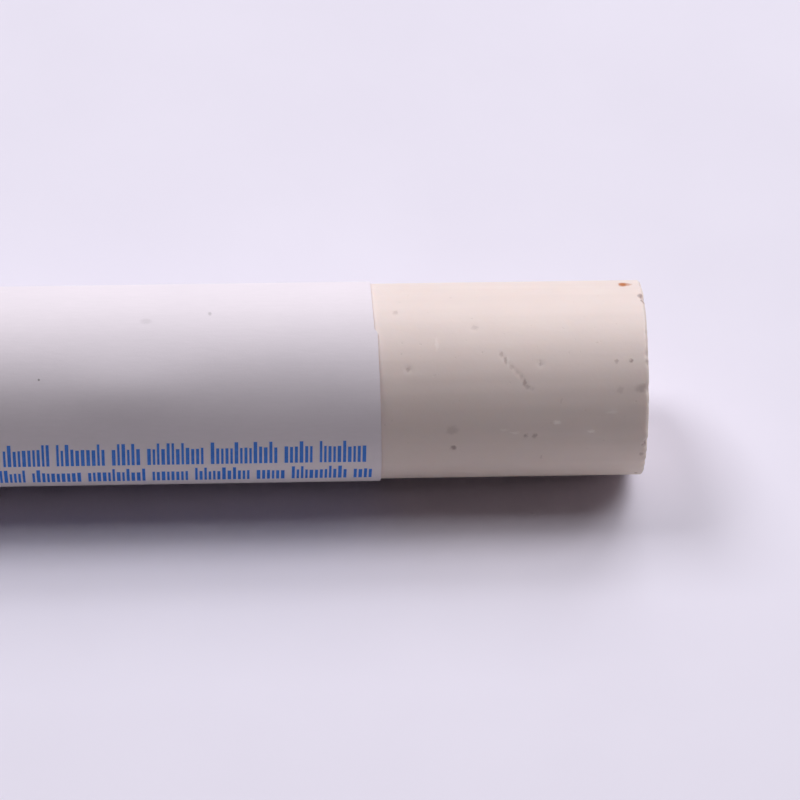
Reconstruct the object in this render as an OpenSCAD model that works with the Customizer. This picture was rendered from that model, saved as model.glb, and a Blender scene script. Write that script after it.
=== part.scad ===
// Furniture repair wax stick: a round bar of hard wax in a rolled paper sleeve.
// The stick lies along X with its bare tip towards +X, and rests on the plane z = 0.

/* [Wax stick] */
// Diameter of the wax bar
wax_d = 11; // [8:0.5:20]
// Length of the wax bar from end to end
wax_length = 85; // [60:1:140]
// Rounding of the rim at both ends of the bar
rim_radius = 0.3; // [0.1:0.05:1]

/* [Paper sleeve] */
// Length of wax left bare at the tip
bare_length = 15; // [5:1:30]
// Length of wax that stands out of the back end of the sleeve
back_length = 0.5; // [0.1:0.1:5]
// Thickness of the paper
paper_thickness = 0.1; // [0.06:0.01:0.2]
// Gap all round between the wax and the paper
sleeve_gap = 0.05; // [0.02:0.01:0.1]
// Width of the strip where the paper overlaps itself
overlap_width = 5; // [3:0.5:6]
// Angle of the free edge of the overlap, up from straight behind the stick
seam_angle = 15; // [-5:5:30]

/* [Glue] */
// Thickness of the glue film in the overlap
glue_thickness = 0.05; // [0.02:0.01:0.1]
// Width of the margin without glue along each edge of the overlap
glue_margin = 0.5; // [0.2:0.1:1]

/* [Hidden] */
$fn = 128;

// Radii of the rolled section, from the wax outwards
wax_r = wax_d / 2;
sleeve_r = wax_r + sleeve_gap;
turn_r = sleeve_r + paper_thickness;
flap_r = turn_r + glue_thickness;
flap_outer_r = flap_r + paper_thickness;

// Stations along X
tip_x = wax_length / 2;
sleeve_front_x = tip_x - bare_length;
sleeve_back_x = -tip_x + back_length;

// Angles round the section, counted from the line where the paper leaves its first turn.
// There it runs straight on along a tangent, until it has risen by its thickness and the glue.
flap_start = (acos(sleeve_r / flap_r) + acos(turn_r / flap_outer_r)) / 2;
flap_end = flap_start + arc_angle(overlap_width, flap_r);
glue_start = flap_start + arc_angle(glue_margin, flap_r);
glue_end = flap_end - arc_angle(glue_margin, flap_r);

// Turn of the whole section that brings the free edge of the flap to the seam angle
roll_angle = seam_angle - flap_end;

// The first turn of paper carries the stick, so its radius sets the height of the axis
axis_z = turn_r;

// Half-planes that cut the section reach past its outside
cut_reach = 2 * flap_outer_r;

// Angle that an arc of this length takes up on a circle of this radius
function arc_angle(length, radius) = length / radius * 180 / PI;

// A flat ring between two radii
module ring(inner_r, outer_r) {
    difference() {
        circle(r = outer_r);
        circle(r = inner_r);
    }
}

// The half-plane on the left of a ray from the centre at this angle
module half_plane(angle) {
    rotate(angle)
        translate([-cut_reach, 0])
            square([2 * cut_reach, cut_reach]);
}

// The sector between two angles that are less than half a turn apart
module sector(from_angle, to_angle) {
    difference() {
        half_plane(from_angle);
        half_plane(to_angle);
    }
}

// Turns a section of the roll to its seam angle and runs it along X between two stations
module roll_along_x(from_x, to_x) {
    translate([from_x, 0, axis_z])
        rotate([90, 0, 90])
            linear_extrude(height = to_x - from_x)
                rotate(roll_angle)
                    children();
}

// Half of the bar's outline: radius across, length up, with both rims rounded
module bar_profile() {
    square([wax_r - rim_radius, wax_length]);
    translate([0, rim_radius])
        square([wax_r, wax_length - 2 * rim_radius]);
    for (rim_y = [rim_radius, wax_length - rim_radius])
        translate([wax_r - rim_radius, rim_y])
            intersection() {
                circle(r = rim_radius);
                translate([0, -rim_radius])
                    square([rim_radius, 2 * rim_radius]);
            }
}

// One sheet in section: the first turn, the straight bridge over its inner edge, and the flap
module sheet_section() {
    difference() {
        ring(sleeve_r, turn_r);
        sector(0, flap_start);
    }
    intersection() {
        translate([sleeve_r, 0])
            square([paper_thickness, flap_outer_r]);
        circle(r = flap_outer_r);
    }
    intersection() {
        ring(flap_r, flap_outer_r);
        sector(flap_start, flap_end);
    }
}

// Solid bar of hard wax, bare at the tip
module wax_stick() {
    color("#efe2d0")
        translate([-tip_x, 0, axis_z])
            rotate([0, 90, 0])
                rotate_extrude()
                    bar_profile();
}

// One sheet of label paper, rolled once round the bar and lapped over itself
module paper_sleeve() {
    color("#f4f2f6")
        roll_along_x(sleeve_back_x, sleeve_front_x)
            sheet_section();
}

// Dried film of glue that holds the lap closed
module glue_seam() {
    color("#d9c48a")
        roll_along_x(sleeve_back_x + glue_margin, sleeve_front_x - glue_margin)
            intersection() {
                ring(turn_r, flap_r);
                sector(glue_start, glue_end);
            }
}

wax_stick();
paper_sleeve();
glue_seam();
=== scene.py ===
# Looks of a furniture repair wax stick: a cast bar of ivory wax in a rolled paper wrap.
import math
import random

import bmesh
import bpy
from mathutils import Matrix, Vector, noise


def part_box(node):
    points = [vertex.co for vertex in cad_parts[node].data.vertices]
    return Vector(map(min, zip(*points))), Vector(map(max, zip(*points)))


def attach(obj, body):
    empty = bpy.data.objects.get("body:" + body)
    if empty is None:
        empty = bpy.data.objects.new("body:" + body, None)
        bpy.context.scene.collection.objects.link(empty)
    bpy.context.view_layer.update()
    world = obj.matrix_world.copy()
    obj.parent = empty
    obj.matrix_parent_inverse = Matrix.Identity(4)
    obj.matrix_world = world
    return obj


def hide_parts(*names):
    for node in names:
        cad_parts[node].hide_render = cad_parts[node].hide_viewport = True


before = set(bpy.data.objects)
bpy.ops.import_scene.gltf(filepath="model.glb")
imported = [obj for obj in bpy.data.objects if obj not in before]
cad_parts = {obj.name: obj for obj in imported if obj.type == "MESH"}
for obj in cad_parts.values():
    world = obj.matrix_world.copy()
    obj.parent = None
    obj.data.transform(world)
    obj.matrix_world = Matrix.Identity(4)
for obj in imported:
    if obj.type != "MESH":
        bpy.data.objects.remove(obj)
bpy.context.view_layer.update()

MM = 0.001
TAU = 2 * math.pi
ALONG = Vector((1, 0, 0))
WELD = 0.001 * MM
SHARP_ANGLE = math.radians(40)

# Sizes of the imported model
wax_low, wax_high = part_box("wax_stick")
sheet_low, sheet_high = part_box("paper_sleeve")
TIP_X = wax_high.x
REAR_X = wax_low.x
AXIS_Z = (wax_low.z + wax_high.z) / 2
BAR_R = (wax_high.z - wax_low.z) / 2
WRAP_FRONT_X = sheet_high.x
WRAP_REAR_X = sheet_low.x
WRAP_LENGTH = WRAP_FRONT_X - WRAP_REAR_X
BARE_LENGTH = TIP_X - WRAP_FRONT_X

# The rolled sheet in section: first turn, straight bridge over its inner edge, flap
PAPER = 0.1 * MM
LAP_WIDTH = 5 * MM
SEAM_ANGLE = math.radians(15)
TURN_R = AXIS_Z - sheet_low.z - PAPER / 2
FLAP_R = sheet_high.y - PAPER / 2
BRIDGE_ANGLE = math.acos(TURN_R / FLAP_R)
BRIDGE_LENGTH = FLAP_R * math.sin(BRIDGE_ANGLE)
LAP_ANGLE = LAP_WIDTH / (FLAP_R - PAPER / 2)
INNER_EDGE_ANGLE = SEAM_ANGLE - LAP_ANGLE
LEAVE_ANGLE = INNER_EDGE_ANGLE - BRIDGE_ANGLE
TURN_END = TURN_R * (TAU - BRIDGE_ANGLE)
BRIDGE_END = TURN_END + BRIDGE_LENGTH
SHEET_WIDTH = BRIDGE_END + FLAP_R * LAP_ANGLE


# Directions round the bar

def facing(clock):
    """Outward direction at an angle round the bar: 0 is behind it, a quarter turn is on top."""
    return Vector((0, math.cos(clock), math.sin(clock)))


def clock_of(point):
    """Angle round the bar at which a point lies."""
    return math.atan2(point.z - AXIS_Z, point.y)


def clock_gap(clock, other):
    """Smallest angle between two directions round the bar, with its sign."""
    return math.remainder(clock - other, TAU)


def swell(distance, reach):
    """Soft bump: 1 in its middle, about a third at its reach and nothing far outside."""
    return math.exp(-(distance / reach) ** 2)


# Wax bar

FACE_RINGS = 26
FACE_CROWDING = 1.7
RIM_STEPS = 5
BARE_RINGS = 138
COVERED_RINGS = 58
GIRTH_STEPS = 320

RIM = 0.12 * MM
END_WEAR = 0.2 * MM
END_X = TIP_X - END_WEAR

# Unevenness of the cast side; what is counted round the bar is counted for each radian
SHRINKAGE = 0.02 * MM
SIDE_FADE = 8
WAVE_HEIGHT = 0.006 * MM
WAVE_LENGTH = 9 * MM
WAVES_ROUND = 1.4
DRAG_HEIGHT = 0.004 * MM
DRAG_LENGTH = 14 * MM
DRAGS_ROUND = 11
MOULD_LINE_ANGLE = math.radians(71)
MOULD_LINE_DEPTH = 0.012 * MM
MOULD_LINE_REACH = 0.1 * MM

# Dents of the cast surface, in mm and degrees: distance from the tip, angle, reach and depth.
# A depth below 0 makes a bump.
DENTS = (
    (13.9, 92, 0.18, 0.02),
    (13.3, 129, 0.18, 0.03),
    (9.6, 104, 0.22, 0.02),
    (6.0, 127, 0.16, 0.03),
    (10.8, 179, 0.18, 0.04),
    (6.8, 171, 0.18, 0.03),
    (6.3, 171, 0.20, 0.03),
    (5.1, 162, 0.18, -0.03),
    (3.2, 168, 0.18, -0.03),
    (2.1, 156, 0.22, -0.03),
)

# Bevel that wear has left along both rims, in mm: its width, how far that wanders, and small bites
BEVEL = 0.12
BEVEL_WANDER = 0.05
BEVEL_BITE = 0.12
WANDERS_ROUND = 5
BITES_ROUND = 16

# Turn of the rear rim's bevel against the tip's, so that the ends don't look alike
REAR_TURN = 2.2

# Chips broken out of the rim of the tip, in mm and degrees: angle, width and depth.
# A depth below 0 leaves the rim sharper.
CHIPS = (
    (81, 0.5, 0.18),
    (142, 0.6, 0.10),
    (178, 0.5, 0.26),
    (188, 0.3, 0.12),
    (197, 0.4, 0.18),
    (206, 0.3, 0.12),
    (224, 1.6, -0.08),
    (256, 3.6, 0.45),
    (277, 0.7, 0.20),
    (333, 0.9, 0.20),
    (27, 0.6, 0.22),
)

# Scratch across the bare wax, as points with their distances from the tip in mm and angles in degrees
SCRATCH = ((8.2, 120.5), (7.9, 125.5), (7.1, 134), (6.9, 138), (6.75, 140.2), (6.5, 141.5))
SCRATCH_PATH = [Vector((far * MM, math.radians(angle) * BAR_R)) for far, angle in SCRATCH]
SCRATCH_REACH = 0.08 * MM
SCRATCH_DEPTH = 0.018 * MM
SCRATCH_TREMOR = 0.6
TREMORS_ROUND = 9
TREMOR_LENGTH = 0.5 * MM

# Sawn ends: a slight hollow, with coarse steps and fine lines that the blade has left at a slant
END_HOLLOW = 0.05 * MM
SAW_SLANT = 0.35
SAW_STEP = 0.8 * MM
SAW_STEP_DEPTH = 0.02 * MM
SAW_LINE = 0.3 * MM
SAW_LINE_DEPTH = 0.01 * MM
SAW_LINE_LENGTH = 9 * MM
SAW_FADE = 0.25


def draw_on(bm, vert, point, rings, crowding=1):
    """Runs the bar's outline on to a point and returns its new end.

    Crowding above 1 makes the edges shorter towards the start, below 1 towards the end.
    """
    start = vert.co.copy()
    for ring in range(1, rings + 1):
        vert = bmesh.ops.extrude_vert_indiv(bm, verts=[vert])["verts"][0]
        vert.co = start.lerp(point, (ring / rings) ** crowding)
    return vert


def round_corner(bm, vert, centre):
    """Runs the outline round a quarter of the rim's small circle and returns its new end."""
    made = bmesh.ops.spin(
        bm, geom=[vert], cent=centre, axis=(0, 1, 0), dvec=(0, 0, 0),
        angle=TAU / 4, steps=RIM_STEPS,
    )
    return next(item for item in made["geom_last"] if isinstance(item, bmesh.types.BMVert))


def outline_point(x, radius):
    return Vector((x, 0, AXIS_Z + radius))


def spin_bar(bm):
    """Draws half of the bar's outline from one end to the other and spins it round the axis."""
    inner = BAR_R - RIM
    pen = bm.verts.new(outline_point(REAR_X, 0))
    pen = draw_on(bm, pen, outline_point(REAR_X, inner), FACE_RINGS, 1 / FACE_CROWDING)
    pen = round_corner(bm, pen, outline_point(REAR_X + RIM, inner))
    pen = draw_on(bm, pen, outline_point(WRAP_FRONT_X, BAR_R), COVERED_RINGS)
    pen = draw_on(bm, pen, outline_point(END_X - RIM, BAR_R), BARE_RINGS)
    pen = round_corner(bm, pen, outline_point(END_X - RIM, inner))
    draw_on(bm, pen, outline_point(END_X, 0), FACE_RINGS, FACE_CROWDING)
    bmesh.ops.spin(
        bm, geom=bm.verts[:] + bm.edges[:], cent=(0, 0, AXIS_Z), axis=ALONG, dvec=(0, 0, 0),
        angle=TAU, steps=GIRTH_STEPS, use_merge=True,
    )
    bmesh.ops.remove_doubles(bm, verts=bm.verts, dist=WELD)
    bmesh.ops.recalc_face_normals(bm, faces=bm.faces)


def mark_distance(from_tip, clock, mark_from_tip, mark_clock):
    """Distance over the bar's surface between a place and a mark given in mm and degrees."""
    round_bar = clock_gap(clock, math.radians(mark_clock)) * BAR_R
    return math.hypot(from_tip - mark_from_tip * MM, round_bar)


def scratch_distance(from_tip, clock):
    """Distance over the bar's surface from a place to the nearest part of the scratch."""
    place = Vector((from_tip, clock_gap(clock, 0) * BAR_R))
    distances = []
    for start, end in zip(SCRATCH_PATH, SCRATCH_PATH[1:]):
        run = end - start
        share = max(0, min(1, (place - start).dot(run) / run.length_squared))
        distances.append((place - start - run * share).length)
    return min(distances)


def cast_height(from_tip, clock):
    """Height of the bar's side above a true cylinder: shrinkage, waves, drag lines and marks."""
    girth = facing(clock)
    wave = WAVE_HEIGHT * noise.noise(girth * WAVES_ROUND + ALONG * from_tip / WAVE_LENGTH)
    drag = DRAG_HEIGHT * noise.noise(girth * DRAGS_ROUND + ALONG * from_tip / DRAG_LENGTH)
    from_line = clock_gap(clock, MOULD_LINE_ANGLE) * BAR_R
    height = wave + drag - SHRINKAGE - MOULD_LINE_DEPTH * swell(from_line, MOULD_LINE_REACH)
    if from_tip > BARE_LENGTH:
        return height
    for far, angle, reach, depth in DENTS:
        height -= depth * MM * swell(mark_distance(from_tip, clock, far, angle), reach * MM)
    tremor = SCRATCH_TREMOR * noise.noise(girth * TREMORS_ROUND + ALONG * from_tip / TREMOR_LENGTH)
    scratched = swell(scratch_distance(from_tip, clock), SCRATCH_REACH)
    return height - SCRATCH_DEPTH * (1 + tremor) * scratched


def rim_bevel(clock):
    """Width of the ragged bevel that wear has left along a rim."""
    girth = facing(clock)
    width = BEVEL + BEVEL_WANDER * noise.noise(girth * WANDERS_ROUND)
    width += BEVEL_BITE * max(0, noise.noise(girth * BITES_ROUND + ALONG))
    for angle, reach, depth in CHIPS:
        width += depth * swell(clock_gap(clock, math.radians(angle)) * BAR_R, reach * MM / 2)
    return width * MM


def end_depth(point, inward):
    """Depth of an end below its plane; inward runs from 0 at its rim to 1 in its middle."""
    across = Vector((0, point.y + SAW_SLANT * point.z, 0))
    onward = Vector((0, 0, point.z / SAW_LINE_LENGTH))
    steps = SAW_STEP_DEPTH * (1 + noise.noise(across / SAW_STEP))
    lines = SAW_LINE_DEPTH * (1 + noise.noise(across / SAW_LINE + onward))
    return END_HOLLOW * inward + (steps + lines) * inward ** SAW_FADE


def wear_bar(bm):
    """Moves the spun bar's points as use has: cast waves, dents, a chipped rim and cut ends."""
    sawn = bm.verts.layers.float.new("sawn")
    for vert in bm.verts:
        from_tip = END_X - vert.co.x
        from_rear = vert.co.x - REAR_X
        clock = clock_of(vert.co)
        girth = facing(clock)
        radius = math.hypot(vert.co.y, vert.co.z - AXIS_Z)
        vert.co += girth * cast_height(from_tip, clock) * (radius / BAR_R) ** SIDE_FADE
        below = BAR_R - radius
        vert.co -= (girth + ALONG) * max(0, rim_bevel(clock) - from_tip - below) / 2
        vert.co -= (girth - ALONG) * max(0, rim_bevel(clock + REAR_TURN) - from_rear - below) / 2
        if min(from_tip, from_rear) < RIM / 2:
            side = 1 if from_tip < from_rear else -1
            vert.co.x -= side * end_depth(vert.co, 1 - (radius / BAR_R) ** 2)
            vert[sawn] = min(1, below / RIM)


def finish_mesh(name, bm, material):
    """Turns a bmesh into a smooth-shaded object whose steep edges stay sharp."""
    for face in bm.faces:
        face.smooth = True
    for edge in bm.edges:
        edge.smooth = edge.calc_face_angle(0) < SHARP_ANGLE
    mesh = bpy.data.meshes.new(name)
    bm.to_mesh(mesh)
    bm.free()
    mesh.materials.append(material)
    piece = bpy.data.objects.new(name, mesh)
    bpy.context.scene.collection.objects.link(piece)
    return piece


def make_wax_bar(material):
    bm = bmesh.new()
    spin_bar(bm)
    wear_bar(bm)
    bar = finish_mesh("wax_bar", bm, material)
    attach(bar, "wax")
    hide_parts("wax_stick")


# Paper wrap

GIRTH_CELLS = 288
LENGTH_CELLS = 116
FRONT_CROWDING = 1.6

# The front edge out of true, in mm: set back, skew, a strip cut back further, and a wandering cut
EDGE_SETBACK = 0.1
EDGE_SKEW = 0.14
EDGE_SKEW_ANGLE = math.radians(45)
EDGE_CUT_BACK = 0.17
EDGE_WANDER = 0.03
EDGE_WANDER_LENGTH = 2.5 * MM
EDGE_FRAY = 0.012
EDGE_FRAY_LENGTH = 0.3 * MM
EDGE_PULL = 4 * MM

# Stretches round the bar: middle, half the width and fade on either side, in degrees
CUT_BACK_STRIP = (66, 39, 1.5)
HUGGING_STRIP = (142, 97, 15)

# How far the paper stands off its roll, in mm
HUG = 0.035
GAPE = 0.05
GAPE_ANGLE = math.radians(165)
GAPE_SPREAD = math.radians(28)
GAPE_LENGTH = 2 * MM
SLACK = 0.02
SLACK_ANGLE = math.radians(145)
SLACK_SPREAD = math.radians(50)
RIPPLE_LENGTH = 7 * MM
RIPPLE_GIRTH = 4 * MM
FLAP_WAVE = 0.02
FLAP_WAVE_LENGTH = 5 * MM
FLAP_WAVE_REACH = 1.2 * MM
CORNER_LIFT = 0.06
CORNER_REACH = 2.5 * MM
CORNER_EDGE_REACH = 1.6 * MM

# Soft buckles in the sheet, in mm and degrees: place along X, angle, reach along and round, height
BUCKLES = (
    (13.4, 140, 3.6, 18, 0.15),
    (20.5, 142, 4.0, 20, -0.025),
    (3.5, 142, 4.0, 20, 0.05),
    (-9.0, 140, 5.0, 22, 0.05),
    (-22.0, 160, 4.0, 20, 0.06),
    (-31.0, 100, 5.0, 25, 0.04),
    (-14.0, 62, 4.5, 22, 0.05),
    (9.0, 250, 5.0, 18, -0.02),
)


def girth_at(clock):
    """Distance along the sheet from its inner edge to an angle on its first turn."""
    return ((clock - INNER_EDGE_ANGLE) % TAU) * TURN_R


def rolled_section(girth):
    """Middle of the rolled sheet and its outward direction, at a distance from its inner edge."""
    if girth < TURN_END:
        outward = facing(INNER_EDGE_ANGLE + girth / TURN_R)
        return outward * TURN_R, outward
    if girth < BRIDGE_END:
        outward = facing(LEAVE_ANGLE)
        onward = facing(LEAVE_ANGLE + TAU / 4)
        return outward * TURN_R + onward * (girth - TURN_END), outward
    outward = facing(INNER_EDGE_ANGLE + (girth - BRIDGE_END) / FLAP_R)
    return outward * FLAP_R, outward


def on_wrap(along, girth, lift):
    """Place on the rolled sheet, lifted from its middle, at a station along the bar."""
    middle, outward = rolled_section(girth)
    return Vector((along, 0, AXIS_Z)) + middle + outward * lift


def plateau(clock, middle, half_width, fade):
    """1 within a stretch round the bar, fading to nothing just outside; its sizes are in degrees."""
    inside = half_width + fade - abs(math.degrees(clock_gap(clock, math.radians(middle))))
    return max(0, min(1, inside / fade))


def edge_wander(girth):
    """How far the front edge of the sheet runs out of true: a slight skew and a hand cut."""
    clock = INNER_EDGE_ANGLE + girth / TURN_R
    back = EDGE_SETBACK + EDGE_SKEW * math.cos(clock - EDGE_SKEW_ANGLE)
    back += EDGE_CUT_BACK * plateau(clock, *CUT_BACK_STRIP)
    cut = EDGE_WANDER * noise.noise(Vector((girth / EDGE_WANDER_LENGTH, 0, 3)))
    fray = EDGE_FRAY * noise.noise(Vector((girth / EDGE_FRAY_LENGTH, 7, 0)))
    return (cut + fray - back) * MM


def flap_lift(along, girth):
    """How far the flap stands off the roll: its edge is wavy, and its corners curl up."""
    to_edge = SHEET_WIDTH - girth
    to_corner = min(WRAP_FRONT_X - along, along - WRAP_REAR_X)
    wave = 1 + noise.noise(Vector((along / FLAP_WAVE_LENGTH, 0, 0)))
    wavy = FLAP_WAVE * wave * swell(to_edge, FLAP_WAVE_REACH)
    curled = CORNER_LIFT * swell(to_edge, CORNER_EDGE_REACH) * swell(to_corner, CORNER_REACH)
    return (wavy + curled) * MM


def paper_lift(along, girth):
    """How far the paper stands off its roll: it hugs the bar in front, gapes a little and buckles."""
    if girth > BRIDGE_END:
        return flap_lift(along, girth)
    clock = INNER_EDGE_ANGLE + girth / TURN_R
    gape = GAPE * swell(clock_gap(clock, GAPE_ANGLE), GAPE_SPREAD)
    slack = SLACK * swell(clock_gap(clock, SLACK_ANGLE), SLACK_SPREAD)
    ripple = 0.5 + 0.5 * noise.noise(Vector((along / RIPPLE_LENGTH, girth / RIPPLE_GIRTH, 0)))
    lift = gape * math.exp((along - WRAP_FRONT_X) / GAPE_LENGTH) + slack * ripple
    lift -= HUG * plateau(clock, *HUGGING_STRIP)
    for far, angle, reach, reach_round, height in BUCKLES:
        turned = math.degrees(clock_gap(clock, math.radians(angle))) / reach_round
        lift += height * swell(math.hypot((along / MM - far) / reach, turned), 1)
    return lift * MM


def make_paper_wrap(material):
    """Lays out a flat sheet as a grid, rolls it round the bar and gives it its thickness."""
    bm = bmesh.new()
    bmesh.ops.create_grid(bm, x_segments=LENGTH_CELLS, y_segments=GIRTH_CELLS, size=0.5)
    flat = bm.loops.layers.uv.new("flat")
    for vert in bm.verts:
        crowded = 1 - (0.5 - vert.co.x) ** FRONT_CROWDING
        vert.co.x = WRAP_REAR_X + WRAP_LENGTH * crowded
        vert.co.y = SHEET_WIDTH * (0.5 - vert.co.y)
    for face in bm.faces:
        for loop in face.loops:
            loop[flat].uv = (loop.vert.co.x / MM, loop.vert.co.y / MM)
    for vert in bm.verts:
        along, girth = vert.co.x, vert.co.y
        lift = paper_lift(along, girth)
        pull = math.exp((along - WRAP_FRONT_X) / EDGE_PULL)
        vert.co = on_wrap(along + edge_wander(girth) * pull, girth, lift + PAPER / 2)
    bm.normal_update()
    bmesh.ops.solidify(bm, geom=bm.faces[:], thickness=PAPER)
    wrap = finish_mesh("paper_wrap", bm, material)
    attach(wrap, "sleeve")
    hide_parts("paper_sleeve")


# Printed rows on the paper: plain upright ticks in groups

INK = 0.004 * MM
INK_THICKNESS = 1.5 * INK
TICK_WIDTHS = (0.14 * MM, 0.17 * MM, 0.20 * MM)
TICK_GAP = 0.1 * MM
GROUP_GAP = 0.3 * MM
GROUP_COUNTS = (4, 6, 8, 10, 12, 14)
TALL_CHANCE = 0.3
TALL_SHARE = 1.28
LOW_SHARES = (0.95, 1.03)
TICK_CELLS = 6
PRINT_REAR_X = -38 * MM
PRINT_SEED = 11

# Rows, in mm and degrees: angle of the feet of the ticks, margin to the front edge, height of the ticks
PRINT_ROWS = ((188, 0.85, 1.3), (208, 0.5, 1.25))


def add_tick(bm, along, girth, width, height):
    """One upright stroke of ink, laid flat and then rolled with the paper."""
    made = bmesh.ops.create_grid(bm, x_segments=1, y_segments=TICK_CELLS, size=0.5)
    for vert in made["verts"]:
        place_along = along + (vert.co.x - 0.5) * width
        place_girth = girth - (0.5 + vert.co.y) * height
        lift = paper_lift(place_along, place_girth) + PAPER / 2 + INK
        vert.co = on_wrap(place_along, place_girth, lift)


def make_label_print(material):
    bm = bmesh.new()
    draw = random.Random(PRINT_SEED)
    for foot_angle, margin, body in PRINT_ROWS:
        foot = girth_at(math.radians(foot_angle))
        along = WRAP_FRONT_X - margin * MM
        while along > PRINT_REAR_X:
            for _ in range(draw.choice(GROUP_COUNTS)):
                width = draw.choice(TICK_WIDTHS)
                share = TALL_SHARE if draw.random() < TALL_CHANCE else draw.uniform(*LOW_SHARES)
                add_tick(bm, along, foot, width, body * share * MM)
                along -= width + TICK_GAP
            along -= GROUP_GAP
    bm.normal_update()
    bmesh.ops.solidify(bm, geom=bm.faces[:], thickness=INK_THICKNESS)
    ink = finish_mesh("label_print", bm, material)
    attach(ink, "sleeve")


# Finishes

def add_node(tree, kind, inputs=None, **settings):
    """Adds a shader node; inputs are values or sockets to link, settings are its own options."""
    made = tree.nodes.new("ShaderNode" + kind)
    for name, value in settings.items():
        setattr(made, name, value)
    for name, value in (inputs or {}).items():
        if isinstance(value, bpy.types.NodeSocket):
            tree.links.new(value, made.inputs[name])
        else:
            made.inputs[name].default_value = value
    return made


def new_finish(name, **shader_inputs):
    """A material with its shader's constant inputs set; returns it with its tree and shader."""
    material = bpy.data.materials.new(name)
    material.use_nodes = True
    tree = material.node_tree
    shader = tree.nodes["Principled BSDF"]
    for socket, value in shader_inputs.items():
        shader.inputs[socket.replace("_", " ")].default_value = value
    return material, tree, shader


def pattern(tree, place, feature, detail=2.0, stretch=(1, 1, 1)):
    """Noise whose features are about this long in the units of the coordinates."""
    mapped = add_node(tree, "Mapping", {"Vector": place, "Scale": stretch})
    spots = add_node(
        tree, "TexNoise",
        {"Vector": mapped.outputs["Vector"], "Scale": 1 / feature, "Detail": detail},
    )
    return spots.outputs["Fac"]


def shades(tree, factor, *stops):
    """Colours along a factor: each stop is a place from 0 to 1 and a colour."""
    ramp = add_node(tree, "ValToRGB", {"Fac": factor})
    elements = ramp.color_ramp.elements
    while len(elements) < len(stops):
        elements.new(0.5)
    for element, (place, colour) in zip(elements, stops):
        element.position = place
        element.color = (*colour, 1)
    return ramp.outputs["Color"]


def tint(tree, factor, under, over, blend="MIX"):
    """Lays one colour over another by a factor."""
    made = tree.nodes.new("ShaderNodeMix")
    made.data_type = "RGBA"
    made.blend_type = blend
    for socket, value in ((made.inputs[0], factor), (made.inputs[6], under), (made.inputs[7], over)):
        if isinstance(value, bpy.types.NodeSocket):
            tree.links.new(value, socket)
        elif socket.type == "RGBA":
            socket.default_value = (*value, 1)
        else:
            socket.default_value = value
    return made.outputs[2]


def spread(tree, factor, low, high, between=(0, 1)):
    """Maps a factor between two values onto a range."""
    made = add_node(
        tree, "MapRange",
        {
            "Value": factor, "From Min": between[0], "From Max": between[1],
            "To Min": low, "To Max": high,
        },
    )
    return made.outputs["Result"]


def spot(tree, place, centre, reaches, strength):
    """Spot with a soft edge about a point, with its reach along each axis of the coordinates."""
    scale = Vector(1 / reach for reach in reaches)
    near = add_node(tree, "Mapping", {"Vector": place, "Location": -scale * centre, "Scale": scale})
    distance = add_node(tree, "VectorMath", {0: near.outputs["Vector"]}, operation="LENGTH")
    made = add_node(
        tree, "MapRange",
        {
            "Value": distance.outputs["Value"], "From Min": 0.3, "From Max": 1,
            "To Min": strength, "To Max": 0,
        },
        interpolation_type="SMOOTHSTEP",
    )
    return made.outputs["Result"]


def ragged(tree, place, feature, amount):
    """Coordinates that are shifted at random, so that marks drawn with them get ragged edges."""
    shift = add_node(tree, "TexNoise", {"Vector": place, "Scale": 1 / feature, "Detail": 2.0})
    centred = add_node(
        tree, "VectorMath", {0: shift.outputs["Color"], 1: (0.5, 0.5, 0.5)}, operation="SUBTRACT",
    )
    moved = add_node(
        tree, "VectorMath",
        {0: centred.outputs["Vector"], 1: (amount, amount, amount), 2: place}, operation="MULTIPLY_ADD",
    )
    return moved.outputs["Vector"]


def relief(tree, shader, *layers):
    """Chains bumps, each a height socket and its depth in metres, into the shader's normal."""
    normal = None
    for height, depth in layers:
        inputs = {"Height": height, "Distance": depth, "Strength": 1.0}
        if normal:
            inputs["Normal"] = normal
        normal = add_node(tree, "Bump", inputs).outputs["Normal"]
    tree.links.new(normal, shader.inputs["Normal"])


# Marks on the bare wax, in mm and degrees: distance from the tip, angle, reach along and round the bar.
# The last value is how strong they are.
SPECKS = (
    (13.9, 92, 0.22, 0.26, 0.19),
    (9.6, 104, 0.26, 0.22, 0.16),
    (13.3, 129, 0.22, 0.20, 0.27),
    (6.0, 127, 0.15, 0.17, 0.26),
    (1.8, 126, 0.18, 0.17, 0.32),
    (0.98, 126, 0.14, 0.14, 0.50),
    (10.8, 179, 0.22, 0.24, 0.53),
    (10.9, 166, 0.46, 0.40, 0.17),
    (6.82, 170.6, 0.18, 0.23, 0.38),
    (6.32, 170.8, 0.22, 0.25, 0.36),
    (5.9, 188, 0.08, 0.26, 0.15),
    (0.22, 79, 0.20, 0.26, 0.50),
    (0.10, 85, 0.16, 0.26, 0.55),
    (0.40, 142, 0.55, 0.34, 0.26),
    (0.14, 178, 0.24, 0.36, 0.75),
    (0.30, 187, 0.18, 0.20, 0.30),
    (0.42, 214, 0.16, 0.18, 0.60),
    (1.62, 143, 0.24, 0.30, 0.14),
    (0.06, 108, 0.16, 0.20, 0.10),
    (0.08, 126, 0.18, 0.20, 0.30),
)
# Darker spots along the scratch.
SCRATCH_DARKENING = (
    (8.15, 121, 0.14, 0.22, 0.24),
    (7.93, 125, 0.16, 0.30, 0.30),
    (7.62, 128.7, 0.18, 0.22, 0.15),
    (7.35, 131.5, 0.16, 0.20, 0.10),
    (7.08, 134.2, 0.15, 0.22, 0.14),
    (6.92, 138, 0.15, 0.32, 0.36),
    (6.75, 140.2, 0.20, 0.18, 0.24),
    (6.52, 141.4, 0.20, 0.12, 0.14),
)
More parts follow.
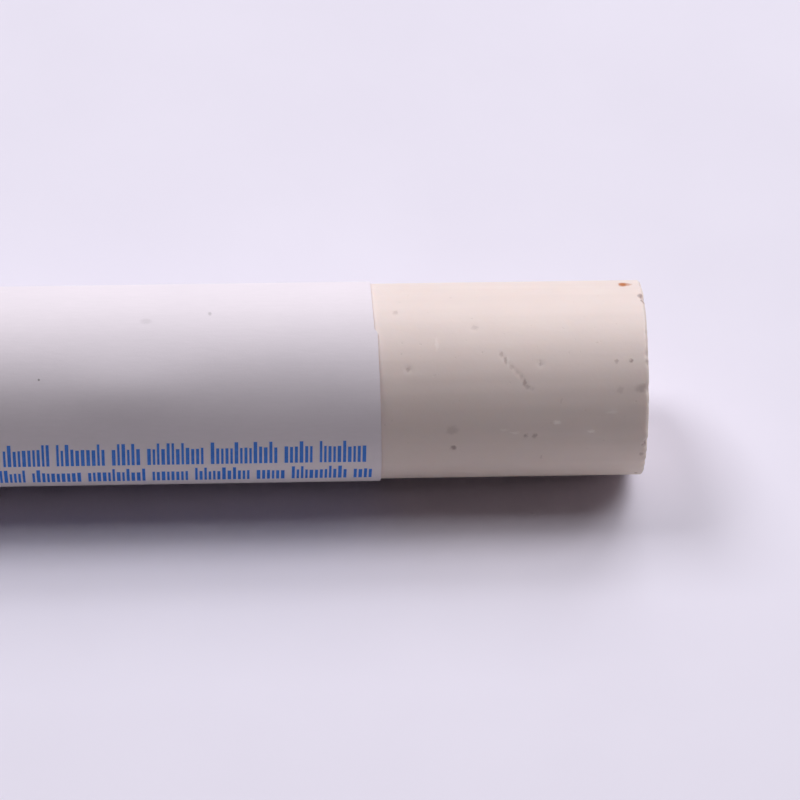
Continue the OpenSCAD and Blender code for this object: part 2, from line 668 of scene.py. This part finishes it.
# Pale marks: painted glints on the small bumps and on the scratch's raised lip, and pale scuffs.
GLINTS_AND_SCUFFS = (
    (5.1, 162, 0.30, 0.16, 0.90),
    (3.2, 168, 0.30, 0.16, 0.90),
    (2.1, 156, 0.46, 0.14, 0.45),
    (8.05, 166.3, 0.40, 0.12, 0.40),
    (7.45, 168.2, 0.36, 0.12, 0.55),
    (11.7, 114, 0.12, 0.55, 0.35),
    (7.8, 124, 0.14, 0.26, 0.40),
)
SMEARS = (
    (1.08, 63.5, 0.34, 0.50, 0.95),
    (0.84, 63.5, 0.36, 0.36, 0.60),
)


def bar_marks(tree, place, marks, colour, stain_and_glint):
    """Lays spots over the colour of the bar's side: stains, smears and painted glints."""
    for far, angle, along, around, strength in marks:
        centre = Vector((END_X - far * MM, 0, AXIS_Z)) + facing(math.radians(angle)) * BAR_R
        reaches = (along * MM, around * MM, around * MM)
        colour = tint(tree, spot(tree, place, centre, reaches, strength), colour, stain_and_glint)
    return colour


def ivory_wax():
    material, tree, shader = new_finish(
        "ivory_wax", Subsurface_Weight=0.25, Subsurface_Radius=(1.0, 0.7, 0.5),
        Subsurface_Scale=0.5 * MM, Specular_IOR_Level=0.4, IOR=1.44,
    )
    place = add_node(tree, "TexCoord").outputs["Object"]
    clouds = pattern(tree, place, 4 * MM, 3)
    drag = pattern(tree, place, 0.7 * MM, 2, stretch=(0.05, 1, 1))
    grain = pattern(tree, place, 0.22 * MM, 3)
    pits = spread(tree, pattern(tree, place, 0.3 * MM, 1), 0, 1, (0.73, 0.80))
    sawn = add_node(tree, "Attribute", attribute_name="sawn").outputs["Fac"]
    lines = pattern(tree, place, 0.25 * MM, 3, stretch=(1, 1, 0.35))
    blade = add_node(tree, "Math", {0: sawn, 1: lines}, operation="MULTIPLY").outputs[0]
    uneven = ragged(tree, place, 0.2 * MM, 0.27 * MM)
    colour = shades(
        tree, clouds, (0.3, (0.82, 0.69, 0.67)), (0.7, (0.86, 0.73, 0.71)),
    )
    colour = tint(tree, spread(tree, drag, 0.0, 0.3, (0.3, 0.7)), colour, (0.77, 0.645, 0.625))
    colour = tint(tree, spread(tree, grain, 0.0, 0.10), colour, (0.89, 0.78, 0.76))
    colour = tint(tree, spread(tree, pits, 0, 0.12), colour, (0.45, 0.34, 0.31))
    colour = tint(tree, spread(tree, blade, 0, 0.3), colour, (0.90, 0.80, 0.78))
    # Pale spots: painted glints on the small bumps and the scratch's lip, and pale scuffs.
    colour = bar_marks(tree, uneven, GLINTS_AND_SCUFFS, colour, (1.0, 0.89, 0.87))
    # Dark specks of dirt, and darker spots along the scratch.
    colour = bar_marks(tree, uneven, SPECKS + SCRATCH_DARKENING, colour, (0.15, 0.05, 0.055))
    colour = bar_marks(tree, uneven, SMEARS, colour, (0.48, 0.14, 0.025))
    tree.links.new(colour, shader.inputs["Base Color"])
    tree.links.new(spread(tree, grain, 0.42, 0.58), shader.inputs["Roughness"])
    relief(
        tree, shader, (drag, 0.006 * MM), (grain, 0.004 * MM), (pits, -0.006 * MM), (blade, 0.02 * MM),
    )
    return material


# Marks on the paper, in mm and degrees: place along X, angle, reach along and round the bar, darkness
PAPER_MARKS = (
    (18.15, 92, 0.14, 0.18, 0.34),
    (8.68, 132, 0.08, 0.08, 0.85),
    (14.6, 97, 0.45, 0.26, 0.14),
    (2.1, 112, 0.18, 0.16, 0.35),
    (-7.4, 80, 0.14, 0.20, 0.45),
    (-19.6, 124, 0.30, 0.16, 0.30),
    (-30.2, 101, 0.16, 0.16, 0.50),
)


def white_paper():
    material, tree, shader = new_finish("white_paper", Specular_IOR_Level=0.3)
    flat = add_node(tree, "UVMap", uv_map="flat").outputs["UV"]
    clouds = pattern(tree, flat, 6, 3)
    fibres = pattern(tree, flat, 0.18, 4, stretch=(0.2, 1, 1))
    tooth = pattern(tree, flat, 0.12, 3)
    colour = shades(
        tree, clouds, (0.3, (0.84, 0.765, 0.85)), (0.7, (0.87, 0.79, 0.875)),
    )
    bands = pattern(tree, flat, 1.0, 2, stretch=(0.02, 1, 1))
    colour = tint(tree, spread(tree, bands, 0.0, 0.2, (0.3, 0.7)), colour, (0.79, 0.72, 0.80))
    colour = tint(tree, spread(tree, fibres, 0.0, 0.2, (0.3, 0.7)), colour, (0.75, 0.685, 0.76))
    uneven = ragged(tree, flat, 0.12, 0.1)
    lap = Vector((0, (BRIDGE_END + SHEET_WIDTH) / 2 / MM, 0))
    glued = spot(tree, ragged(tree, flat, 1.5, 1.2), lap, (1000, LAP_WIDTH / 2 / MM, 1), 0.3)
    colour = tint(tree, glued, colour, (0.78, 0.70, 0.66))
    for along, angle, reach, reach_round, strength in PAPER_MARKS:
        centre = Vector((along, girth_at(math.radians(angle)) / MM, 0))
        dirt = spot(tree, uneven, centre, (reach, reach_round, 1), strength)
        colour = tint(tree, dirt, colour, (0.22, 0.19, 0.21))
    tree.links.new(colour, shader.inputs["Base Color"])
    tree.links.new(spread(tree, tooth, 0.62, 0.8), shader.inputs["Roughness"])
    relief(tree, shader, (fibres, 0.004 * MM), (tooth, 0.003 * MM))
    return material


def blue_ink():
    material, tree, shader = new_finish("blue_ink", Specular_IOR_Level=0.4)
    place = add_node(tree, "TexCoord").outputs["Object"]
    wear = pattern(tree, place, 0.3 * MM, 4)
    colour = shades(
        tree, wear, (0.35, (0.02, 0.18, 0.76)), (0.75, (0.045, 0.24, 0.86)),
    )
    tree.links.new(colour, shader.inputs["Base Color"])
    tree.links.new(spread(tree, wear, 0.45, 0.65), shader.inputs["Roughness"])
    return material


def dried_glue():
    material, tree, shader = new_finish("dried_glue", Specular_IOR_Level=0.5, IOR=1.47)
    place = add_node(tree, "TexCoord").outputs["Object"]
    clouds = pattern(tree, place, 2 * MM, 4)
    colour = shades(
        tree, clouds, (0.3, (0.55, 0.42, 0.20)), (0.7, (0.72, 0.60, 0.36)),
    )
    tree.links.new(colour, shader.inputs["Base Color"])
    tree.links.new(spread(tree, clouds, 0.2, 0.4), shader.inputs["Roughness"])
    relief(tree, shader, (clouds, 0.01 * MM))
    return material


# Stretch of the table near the stick that throws most light back at it, along X, Y and Z
BOUNCE_REACHES = (200 * MM, 70 * MM, 1)


def pale_table():
    """Pale matt table; what it throws back at the stick comes mostly from near the stick."""
    material, tree, shader = new_finish("pale_table", Roughness=0.7, Specular_IOR_Level=0)
    place = add_node(tree, "TexCoord").outputs["Object"]
    clouds = pattern(tree, place, 12 * MM, 3)
    seen = shades(tree, clouds, (0.3, (0.80, 0.757, 0.882)), (0.7, (0.82, 0.777, 0.902)))
    near = spot(tree, place, Vector(), BOUNCE_REACHES, 1)
    thrown = tint(tree, near, (0.42, 0.405, 0.41), (0.80, 0.77, 0.785))
    path = add_node(tree, "LightPath").outputs["Is Camera Ray"]
    tree.links.new(tint(tree, path, thrown, seen), shader.inputs["Base Color"])
    return material


# Table, light and camera

TABLE_SIZE = 6.0
TABLE_DROP = 0.01 * MM

LAMP_AIM = Vector((20 * MM, 0, 0))

# Lamps: name, direction towards the lamp, distance, size along and across the bar, turn and power
LAMPS = (
    ("overhead_lamp", (0.57, 0.178, 1), 0.7, (0.42, 0.35), 0, 2.31),
    ("left_lamp", (-0.475, 0.43, 1), 0.8, (0.27, 0.41), -9, 2.88),
    ("back_lamp", (0.365, 0.933, 1), 0.8, (0.45, 0.32), 0, 2.08),
)

# Strength of the studio round the stick: as light on it, in gloss, and straight in the picture
STUDIO_COLOUR = (0.97, 0.95, 1)
FILL_STRENGTH = 0.004
MIRRORED_STRENGTH = 0.5
SEEN_STRENGTH = 0.85

CAMERA_ELEVATION = math.radians(44.5)
CAMERA_DISTANCE = 263 * MM
CAMERA_X = 17.9 * MM
CAMERA_AIM = Vector((28.73 * MM, -0.76 * MM, 4.875 * MM))
CAMERA_ROLL = math.radians(0.87)
CAMERA_NEAR = 10 * MM
CAMERA_FAR = 20
IMAGE_SIZE = 800
FOCAL_PIXELS = 4681


def make_table(material):
    bm = bmesh.new()
    bmesh.ops.create_grid(bm, x_segments=1, y_segments=1, size=TABLE_SIZE / 2)
    bmesh.ops.translate(bm, verts=bm.verts, vec=(0, 0, -TABLE_DROP))
    table = finish_mesh("table", bm, material)


def looking(position, backward, roll=0):
    """Place of a lamp or camera that looks against a direction, with the bar across its view."""
    across = (ALONG - backward * backward.x).normalized()
    across = Matrix.Rotation(-roll, 3, backward) @ across
    turn = Matrix((across, backward.cross(across), backward)).transposed()
    return Matrix.Translation(position) @ turn.to_4x4()


def add_lamp(name, direction, distance, size, turn, power):
    """A soft lamp that shines on the stick from a direction; its first side lies along the bar."""
    data = bpy.data.lights.new(name, "AREA")
    data.shape = "RECTANGLE"
    data.size, data.size_y = size
    data.energy = power
    lamp = bpy.data.objects.new(name, data)
    lamp.matrix_world = looking(LAMP_AIM + direction * distance, direction, math.radians(turn))
    bpy.context.scene.collection.objects.link(lamp)


def light_scene():
    for name, toward, distance, size, turn, power in LAMPS:
        add_lamp(name, Vector(toward).normalized(), distance, size, turn, power)
    world = bpy.data.worlds.new("studio")
    world.use_nodes = True
    tree = world.node_tree
    background = tree.nodes["Background"]
    background.inputs["Color"].default_value = (*STUDIO_COLOUR, 1)
    path = add_node(tree, "LightPath").outputs
    mirrored = spread(tree, path["Is Glossy Ray"], FILL_STRENGTH, MIRRORED_STRENGTH)
    seen = spread(tree, path["Is Camera Ray"], 0, SEEN_STRENGTH)
    strength = add_node(tree, "Math", {0: mirrored, 1: seen}, operation="MAXIMUM").outputs[0]
    tree.links.new(strength, background.inputs["Strength"])
    bpy.context.scene.world = world


def place_camera():
    """Looks at the stick from above its front, with its axis tilted a little in the picture."""
    toward = Vector((0, -math.cos(CAMERA_ELEVATION), math.sin(CAMERA_ELEVATION)))
    position = Vector((CAMERA_X, 0, AXIS_Z)) + toward * CAMERA_DISTANCE
    data = bpy.data.cameras.new("camera")
    data.lens = FOCAL_PIXELS / IMAGE_SIZE * data.sensor_width
    data.clip_start = CAMERA_NEAR
    data.clip_end = CAMERA_FAR
    camera = bpy.data.objects.new("camera", data)
    camera.matrix_world = looking(position, (position - CAMERA_AIM).normalized(), CAMERA_ROLL)
    bpy.context.scene.collection.objects.link(camera)
    bpy.context.scene.camera = camera


place_camera()
light_scene()
make_table(pale_table())
make_wax_bar(ivory_wax())
make_paper_wrap(white_paper())
make_label_print(blue_ink())
glue_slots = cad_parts["glue_seam"].material_slots
glue_slots[0].material = dried_glue()
bpy.context.scene.view_settings.view_transform = "Standard"
